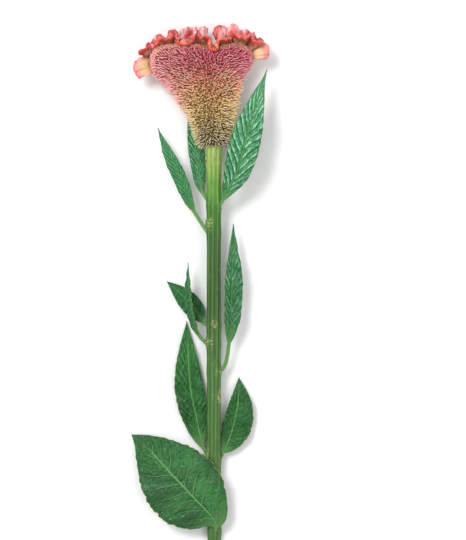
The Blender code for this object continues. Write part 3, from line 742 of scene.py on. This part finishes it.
def scatter_on_head(spacing, draw):
    """Places and outward directions spread over the head at about an even spacing."""
    turn, up = draw.uniform(0, 2 * math.pi, FLORET_TRIES), draw.uniform(0, 1, FLORET_TRIES)
    step = 0.004
    here = head_point(turn, up)
    round_it = (head_point(turn + step, up) - head_point(turn - step, up)) / (2 * step)
    along = head_point(turn, np.minimum(up + step, 1)) - head_point(turn, np.maximum(up - step, 0))
    along = along / (2 * step)
    area = np.linalg.norm(np.cross(round_it, along), axis=-1)
    keep = draw.uniform(0, 1, len(turn)) < area / np.quantile(area, 0.98)
    here, up = here[keep], up[keep]
    normal = unit(np.cross(round_it, along)[keep])
    normal *= np.sign(normal[:, 2] * (here[:, 2] - HEAD_MIDDLE_Z))[:, None]
    low_end = (here[:, 1] < FLORET_ENDS_Y) & (np.abs(here[:, 0] - FLORET_MIDDLE_X) > FLORET_MIDDLE_REACH)
    wavy = FLORET_TOP + FLORET_TOP_WAVE * ripple(here / MM, 9, seed=5)
    keep = up < np.where(low_end, FLORET_END_TOP, wavy)
    here, normal, up = here[keep], normal[keep], up[keep]
    taken, chosen = {}, []
    cells = np.floor(here / spacing).astype(int)
    for i, cell in enumerate(map(tuple, cells)):
        near = [j for dx in (-1, 0, 1) for dy in (-1, 0, 1) for dz in (-1, 0, 1)
                for j in taken.get((cell[0] + dx, cell[1] + dy, cell[2] + dz), ())]
        if near and np.min(np.sum((here[near] - here[i]) ** 2, axis=1)) < spacing**2:
            continue
        taken.setdefault(cell, []).append(i)
        chosen.append(i)
    return here[chosen], normal[chosen], up[chosen]


def tufts(name, root, out, up, draw, blades, length, half_width, spread, material):
    """A tuft of pointed blades at each place on the head, as one or more pieces."""
    count = len(root)
    side = unit(np.cross(out, draw.normal(0, 1, (count, 3))))
    other = np.cross(out, side)
    width = BLADE_WIDTHS * half_width
    turn = (np.arange(blades) / blades * 2 * math.pi)[None, :] + draw.normal(0, 0.25, (count, blades))
    wide = draw.uniform(0.35, 1.4, (count, blades, 1)) * np.array(spread)
    long_ = draw.uniform(0.7, 1.15, (count, blades, 1)) * length[:, None, None] * BLADE_SHARES
    radial = np.cos(turn)[..., None] * side[:, None] + np.sin(turn)[..., None] * other[:, None]
    across = np.cross(out[:, None], radial)
    middle = (root[:, None, None] + out[:, None, None] * (long_ - TUFT_DIP)[..., None]
              + radial[:, :, None] * wide[..., None])
    edge = across[:, :, None] * width[None, None, :, None]
    keel = radial[:, :, None] * (0.4 * width)[None, None, :, None]
    points = np.stack([middle - edge - keel, middle, middle + edge - keel], axis=3)
    points[..., 2] = np.maximum(points[..., 2], 0)
    one = grid_faces(len(BLADE_SHARES), 3)
    parts = max(1, round(count * blades * len(one) * 2 / MOST_TRIANGLES))
    for k, chosen in enumerate(np.array_split(np.arange(count), parts)):
        some = points[chosen]
        shape = some.shape[:-1]
        faces = repeated(one, len(chosen) * blades, len(BLADE_SHARES) * 3)
        make_piece(f"{name}_{k + 1}", some, faces, material, "head_florets", "head_florets",
                   tip=np.broadcast_to(BLADE_SHARES[:, None], shape),
                   level=np.broadcast_to(up[chosen][:, None, None, None], shape),
                   luck=np.broadcast_to(draw.uniform(0, 1, (len(chosen), blades, 1, 1)), shape))


def fan_out(root, out, scatter, draw):
    """Directions that lean from straight out of the head to up and away along it."""
    away = np.zeros_like(root)
    away[:, :2] = np.tanh((root[:, :2] - FAN_POINT) / FAN_REACH) * FAN_LEAN
    away -= out * (away * out).sum(axis=1, keepdims=True)
    return unit(out + away + draw.normal(0, scatter, out.shape))


def build_seeds_and_shade(root, out, up, draw):
    """The shiny near-black seeds that show between the florets of the lower head, and also stand in for the
    shade in the gaps there.
    """
    middle = root + out * draw.uniform(*SEED_STAND, (len(up), 1)) * read_off(TEPAL_SIZES, up)[:, None]
    shown = (draw.uniform(0, 1, len(up)) < 1 - 0.5 * up) & (np.abs(out[:, 2]) > SEED_FACING)
    shown &= (up < SEED_TOP) & (middle[:, 2] > 2 * SEED_RADIUS)
    middle = middle[shown]
    size = SEED_RADIUS * draw.uniform(0.75, 1.2, (len(middle), 1, 1))
    rows = np.linspace(0, math.pi, SEED_ROWS)[:, None]
    turn = (np.arange(SEED_SIDES) / SEED_SIDES * 2 * math.pi)[None, :]
    ball = np.stack(np.broadcast_arrays(np.sin(rows) * np.cos(turn), np.sin(rows) * np.sin(turn),
                                        np.cos(rows)), axis=-1).reshape(-1, 3)
    faces = repeated(grid_faces(SEED_ROWS, SEED_SIDES, wrap=True), len(middle), len(ball))
    make_piece("seeds", middle[:, None] + ball[None] * size, faces, seed_and_shade_material(), "head_florets",
               "head_florets")


def build_florets():
    """Thousands of small flowers: short broad bracts, long narrow papery tepals, and seeds between them
    that also stand in for shade.
    """
    draw = np.random.default_rng(FLORET_DRAW)
    material = floret_material()
    root, out, up = scatter_on_head(BRACT_SPACING, draw)
    tufts("bracts", root, fan_out(root, out, BRACT_SCATTER, draw), up, draw, BRACTS_A_TUFT,
          np.full(len(root), BRACT_LENGTH), BRACT_HALF_WIDTH, BRACT_SPREAD, material)
    root, out, up = scatter_on_head(TEPAL_SPACING, draw)
    length = (TEPAL_LENGTH * draw.uniform(0.8, 1.15, len(root)) * read_off(TEPAL_SIZES, up)
              * (1 + SIDE_LENGTHENING * (1 - np.abs(out[:, 2]))))
    tufts("tepals", root, fan_out(root, out, TEPAL_SCATTER, draw), up, draw, TEPALS_A_TUFT, length,
          TEPAL_HALF_WIDTH, TEPAL_SPREAD, material)
    root, out, up = scatter_on_head(SEED_SPACING, draw)
    build_seeds_and_shade(root, fan_out(root, out, BRACT_SCATTER, draw), up, draw)


# Crest

def head_edge(along):
    """A point of the head's top edge and the direction out of it, at a length along it in mm."""
    line = smooth_curve(HEAD_TOP, np.linspace(0, 1, 400))
    length = np.append(0, np.cumsum(np.linalg.norm(np.diff(line, axis=0), axis=1)))
    place = np.stack([np.interp(along, length, line[:, k]) for k in range(2)], axis=-1)
    step = 1.5
    ahead = unit(np.stack([np.interp(along + step, length, line[:, k])
                           - np.interp(along - step, length, line[:, k]) for k in range(2)], axis=-1))
    return place, np.stack([-ahead[..., 1], ahead[..., 0]], axis=-1)


def ripple(points, size, seed):
    """A smooth random wave between about -1 and 1 over space, with bumps of about this size."""
    draw = np.random.default_rng(seed)
    total = 0
    waves = 9
    for _ in range(waves):
        way = unit(draw.normal(0, 1, 3)) * 2 * math.pi / size * draw.uniform(0.6, 1.5)
        total = total + np.sin(points @ way + draw.uniform(0, 2 * math.pi))
    return total / math.sqrt(waves)


def closed_tube(rings):
    """The rings of a tube with both ends drawn in to a point."""
    first, last = (np.broadcast_to(ring.mean(axis=1, keepdims=True), ring.shape)
                   for ring in (rings[:1], rings[-1:]))
    return np.concatenate([first, rings, last])


def nearest_on_edge(points):
    """The length along the head's top edge, in mm, of the place nearest to each point."""
    along = np.linspace(0.2, HEAD_TOP_LENGTH, 500)
    line, _ = head_edge(along)
    return along[np.argmin(np.linalg.norm(points[:, None] - line[None], axis=-1), axis=1)]


def evened(values, half_window):
    """The rows with each replaced by the mean of its neighbours."""
    window = np.ones(2 * half_window + 1) / (2 * half_window + 1)
    padded = np.pad(values, ((half_window, half_window), (0, 0)), mode="edge")
    return np.stack([np.convolve(column, window, mode="valid") for column in padded.T], axis=-1)


def build_ribbon(name, rim_points, notch, material, seed):
    """A ribbon of crest: thin where it leaves the head, pleated to its rim, with a thick crinkled rim."""
    rough_length = np.linalg.norm(np.diff(np.array(rim_points)[:, :3], axis=0), axis=1).sum()
    path = smooth_curve(rim_points, np.linspace(0, 1, int(rough_length * MM / CREST_STEP)))
    rim, half = path[:, :3], path[:, 3:]
    window = int(CREST_EVENING / CREST_STEP)
    place = nearest_on_edge(rim[:, :2])
    place = np.where((place > notch[0]) & (place < notch[1]), notch[1], place)
    place = evened(place[:, None], window)[:, 0]
    edge, out = head_edge(place)
    middle = HEAD_MIDDLE_HEIGHTS[-1][1]
    foot = np.column_stack([edge - out * 0.8, middle + (rim[:, 2] - middle) * CREST_FOOT_REACH])
    crinkle = np.stack([ripple(rim, 5, seed + k) for k in range(3)], axis=-1) * (0.6, 0.8, 1)
    half = half * (0.87 + 0.2 * ripple(rim, 7, seed + 4)[:, None])
    rim = rim + crinkle * CREST_CRINKLE / MM
    rise = unit(rim - foot)
    rim = rim - rise * CREST_RIM_DROP / MM
    ahead = evened(np.gradient(rim, axis=0), window)
    side = unit(evened(np.cross(rise, ahead), window))
    lateral, up, dome = np.array(CREST_PROFILE + tuple((-a, b, c) for a, b, c in CREST_PROFILE[-2::-1])).T
    left = step_up(CREST_LEFT_FLAP_Y, CREST_LEFT_FLAP_Y - CREST_FLAP_BLEND, rim[:, 1]) * (rim[:, 0] < 0)
    right = (step_up(CREST_RIGHT_FLAP_Y, CREST_RIGHT_FLAP_Y - CREST_FLAP_BLEND, rim[:, 1])
             * step_up(CREST_RIGHT_FLAP_X, CREST_RIGHT_FLAP_X + CREST_FLAP_BLEND, rim[:, 0]))
    flat = np.maximum(left, right)
    arch = np.sin(math.pi * up)[None, :] * (CREST_FLAP_ARCH * flat)[:, None]
    rings = (foot[:, None] + (rim - foot)[:, None] * up[None, :, None] + arch[..., None] * (0, 0, 1)
             + rise[:, None] * (half * dome)[..., None] + side[:, None] * (half * lateral)[..., None])
    # Swellings of the sides, which the material also turns into painted shade and highlight
    swell = sum(ripple(rings, size, seed + 5 + k) * height
                for k, (size, height) in enumerate(CREST_SWELLS))
    rings = rings + side[:, None] * (swell * step_up(0.15, 0.7, up))[..., None]
    # How far the rim stands forward of its neighbours: the material paints shade where it lies back and a
    # highlight where it stands forward
    fold = (rim[:, 2] - evened(rim[:, 2:], int(CREST_FOLD_EVENING / CREST_STEP))[:, 0]) / 4
    rings[..., 2] = np.maximum(rings[..., 2], 0.3)
    rings = closed_tube(rings * MM)
    shape = rings.shape[:2]

    def around(values):
        return np.concatenate([values[:1], values, values[-1:]])

    make_piece(name, rings, grid_faces(*shape, wrap=True), material, "crest", "crest",
               rise=np.broadcast_to(0.8 * up + 0.2 * np.minimum(dome, 1), shape),
               front=around(rings[1:-1, :, 2]),
               flap=np.broadcast_to(around(flat)[:, None], shape), swell=around(swell),
               fold=np.broadcast_to(around(fold)[:, None], shape))


def low_ruffle():
    """Rim points of the low tight ruffle that fills the crest between its two ribbons."""
    along = np.arange(RUFFLE_ENDS[0], RUFFLE_ENDS[1], RUFFLE_FOLD / 8)
    place, out = head_edge(along)
    start, end = CREST_NOTCH
    in_notch = step_up(start - 3, start, along) * step_up(end + 3, end, along)
    rim = place + out * (RUFFLE_HEIGHT * (1 - 0.7 * in_notch))[:, None]
    swing = RUFFLE_SWING * np.sin(2 * math.pi * along / RUFFLE_FOLD + 0.8 * np.sin(along / 5))
    return np.column_stack([rim, HEAD_MIDDLE_HEIGHTS[-1][1] + swing,
                            np.full(len(along), RUFFLE_HALF_THICKNESS)])


def build_crest():
    """The front ribbon with its end flaps, the taller pink one behind it, and the low one between."""
    material = crest_material()
    build_ribbon("crest_front", CREST_FRONT, (0, 0), material, seed=3)
    build_ribbon("crest_back", CREST_BACK, CREST_NOTCH, material, seed=23)
    build_ribbon("crest_fill", low_ruffle(), (0, 0), material, seed=31)


# Leaves

def leaf_width(share, half, petiole, tip_power):
    """Half width of a leaf at a share of its length: a narrow petiole that opens into the blade."""
    s = np.clip((share - petiole) / (1 - petiole), 0, 1)
    rise = tip_power * LEAF_WIDEST / (1 - LEAF_WIDEST)
    blade = (s / LEAF_WIDEST) ** rise * ((1 - s) / (1 - LEAF_WIDEST)) ** tip_power
    stalk = PETIOLE_HALF_WIDTH * np.clip(1 - 1.2 * s, 0.2, 1)
    return np.maximum(half * MM * blade, stalk)


def leaf_sheet(leaf, share, across, seed):
    """A point of a leaf's middle sheet, as in the solids, with a finely notched and rippled margin."""
    y, angle = leaf["at"]
    root = stem_point(np.array(y * MM - LEAF_ROOT_DROP), math.radians(angle), -LEAF_ROOT_DEPTH) / MM
    points = [root] + list(leaf["midrib"])
    step = 0.01
    middle = smooth_curve(points, share)
    ahead = unit(smooth_curve(points, np.minimum(share + step, 1))
                 - smooth_curve(points, np.maximum(share - step, 0)))
    side = unit(np.cross(ahead, (0, 0, 1)))
    front = np.cross(side, ahead)
    roll = np.radians(leaf["roll"][0] + (leaf["roll"][1] - leaf["roll"][0]) * share)[..., None]
    side, front = side * np.cos(roll) + front * np.sin(roll), front * np.cos(roll) - side * np.sin(roll)
    half = np.where(across < 0, leaf["half"][0], leaf["half"][1])
    width = leaf_width(share, half, leaf["petiole"], leaf.get("tip_power", LEAF_TIP_POWER))
    blade = np.clip((share - leaf["petiole"]) / (1 - leaf["petiole"]), 0, 1)
    open_ = step_up(0.02, 0.18, blade) * step_up(1, 0.9, blade)
    notch = sum(0.5 * np.sin(count * share + by_leaf * seed + by_side * np.sign(across))
                for count, by_leaf, by_side in MARGIN_NOTCHES)
    width = width * (1 + MARGIN_NOTCH_DEPTH * notch * open_ * np.abs(across) ** 3)
    fold = math.radians(leaf["fold"])
    count, height = leaf["waves"]
    wave = height * MM * across**2 * np.sin(2 * math.pi * count * share + 1.3 * across)
    wave = wave * np.minimum(width / (np.max(leaf["half"]) * MM), 1)
    flutter = FLUTTER_HEIGHT * across**4 * np.sin(52 * share + seed + np.sign(across)) * open_
    flat = across * width * math.cos(fold)
    raised = np.abs(across) * width * math.sin(fold) + wave + flutter
    return middle * MM + side * flat[..., None] + front * raised[..., None], width


def clear_of_stem(points, share):
    """The points, with those past the leaf's root that are in the stem moved straight out of it."""
    x, y, z = np.moveaxis(points, -1, 0)
    angle = np.arctan2(z - stem_axis_z(y), x)
    wall = stem_point(y, angle, LEAF_SEAT)
    inside = np.hypot(x, z - stem_axis_z(y)) < np.hypot(wall[..., 0], wall[..., 2] - stem_axis_z(y))
    return np.where((inside & (share > LEAF_ROOT_SHARE))[..., None], wall, points)


def build_leaf(name, leaf, material):
    """One leaf with sunken veins, quilted blade between them, and a stout petiole."""
    seed = float(name[-1]) * 1.7
    draw = int(seed * 10)
    share, across = np.meshgrid(np.linspace(0, 1, LEAF_ROWS + 1) ** 1.1,
                                np.linspace(-1, 1, LEAF_COLUMNS + 1), indexing="ij")
    sheet, width = leaf_sheet(leaf, share, across, seed)
    normal = surface_normals(sheet)
    normal *= np.sign((normal * (0, 0, 1)).sum(axis=-1).mean())
    blade = np.clip((share - leaf["petiole"]) / (1 - leaf["petiole"]), 0, 1)
    reach = np.abs(across)

    def by_midrib(half_width):
        return np.exp(-((reach * width / half_width) ** 2))

    wander = 0.16 * ripple(np.stack([18 * share, 3 * across, 0 * share], axis=-1), 4, draw + 5)
    veins = (leaf.get("veins", VEIN_COUNT) * (blade - VEIN_SWEEP * reach**0.8)
             + np.where(across < 0, 0, 0.5) + wander)
    quilt = np.abs(np.sin(math.pi * veins)) ** 0.8
    past_stalk = step_up(0.03, 0.2, blade)
    calm = step_up(0, 0.15, reach) * step_up(1, 0.8, reach) * past_stalk * step_up(1, 0.85, blade)
    bumps = ripple(sheet / MM, 3.8, draw) * step_up(0, 0.06, reach) * step_up(1, 0.85, reach)
    creases = ripple(np.stack([2.2 * veins, 2.5 * reach, 0 * reach], axis=-1), 1, draw + 9)
    crinkles = CRINKLE_HEIGHT * bumps * past_stalk + CREASE_HEIGHT * leaf.get("crease", 1) * creases * calm
    relief = (QUILT_HEIGHT * (quilt - 0.5) * calm + crinkles) * np.minimum(width / RELIEF_FULL_WIDTH, 1.2)
    relief = relief - MIDRIB_GROOVE * by_midrib(MIDRIB_HALF_WIDTH) * step_up(0.05, 0.3, blade)
    rib = 0.75 * by_midrib(MIDRIB_PALE_HALF_WIDTH) * step_up(1, 0.7, blade)
    rib_under = MIDRIB_HEIGHT * by_midrib(MIDRIB_HALF_WIDTH) * (1 - blade) * step_up(0, 0.1, blade)
    stalk = np.clip(1 - (share - leaf["petiole"]) / 0.2, 0, 1)
    half = (LEAF_THICKNESS + (PETIOLE_THICKNESS - LEAF_THICKNESS) * stalk) / 2
    half = half * np.where(stalk > 0, np.sqrt(np.maximum(1 - (0.92 * reach * stalk) ** 2, 0)), 1)
    half = half * (1 - 0.6 * step_up(0.9, 1, reach) * (1 - stalk))
    upper = sheet + normal * (half + relief)[..., None]
    under = sheet - normal * (half - relief + rib_under)[..., None]

    def both(values):
        return np.concatenate([values, values[:, ::-1]], axis=1)

    rings = clear_of_stem(np.concatenate([upper, under[:, ::-1]], axis=1), both(share))
    rings[..., 2] = np.maximum(rings[..., 2], 0)
    faces = grid_faces(LEAF_ROWS + 1, rings.shape[1], wrap=True)
    below = np.concatenate([np.zeros_like(share), np.ones_like(share)], axis=1)
    make_piece(name + "_blade", rings, faces, material, name, "leaf", veins=both(veins), reach=both(reach),
               rib=both(np.maximum(rib, 0.6 * stalk**2)), quilt=both(quilt * calm), under=below,
               gleam=np.full(below.shape, leaf.get("gleam", DULL_PAINTED_GLEAM)))


# Studio

def light(name, place, size, power):
    lamp = bpy.data.lights.new(name, "AREA")
    lamp.shape = "DISK"
    lamp.size = size
    lamp.energy = power
    holder = bpy.data.objects.new(name, lamp)
    holder.location = place
    aim = Vector(LIGHT_AIM) - Vector(place)
    holder.rotation_euler = aim.to_track_quat("-Z", "Y").to_euler()
    bpy.context.scene.collection.objects.link(holder)


def build_studio():
    """A near-white floor, a soft key light from the upper left, a weak fill, and the camera overhead."""
    scene = bpy.context.scene
    mesh = bpy.data.meshes.new("floor")
    mesh.from_pydata([(x * FLOOR_HALF_SIDE, y * FLOOR_HALF_SIDE, 0)
                      for x, y in ((-1, -1), (1, -1), (1, 1), (-1, 1))], [], [(0, 1, 2, 3)])
    mesh.materials.append(floor_material())
    floor = bpy.data.objects.new("floor", mesh)
    scene.collection.objects.link(floor)
    scene.world = bpy.data.worlds.new("studio")
    scene.world.use_nodes = True
    sky = scene.world.node_tree.nodes["Background"].inputs
    sky["Color"].default_value = (1, 1, 1, 1)
    sky["Strength"].default_value = SKY_STRENGTH
    light("key", *KEY_LIGHT)
    light("fill", *FILL_LIGHT)
    scene.view_settings.view_transform = "Standard"
    camera = bpy.data.cameras.new("camera")
    camera.sensor_width = 36
    camera.lens = camera.sensor_width * CAMERA_DISTANCE / VIEW_HEIGHT
    camera.clip_end = 20
    holder = bpy.data.objects.new("camera", camera)
    holder.location = (VIEW_CENTRE[0], VIEW_CENTRE[1], VIEW_CENTRE[2] + CAMERA_DISTANCE)
    scene.collection.objects.link(holder)
    scene.camera = holder


def main():
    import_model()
    build_studio()
    build_stem()
    build_head_body()
    build_florets()
    build_crest()
    skin = leaf_material()
    for name, leaf in LEAVES.items():
        build_leaf(name, leaf, skin)


main()
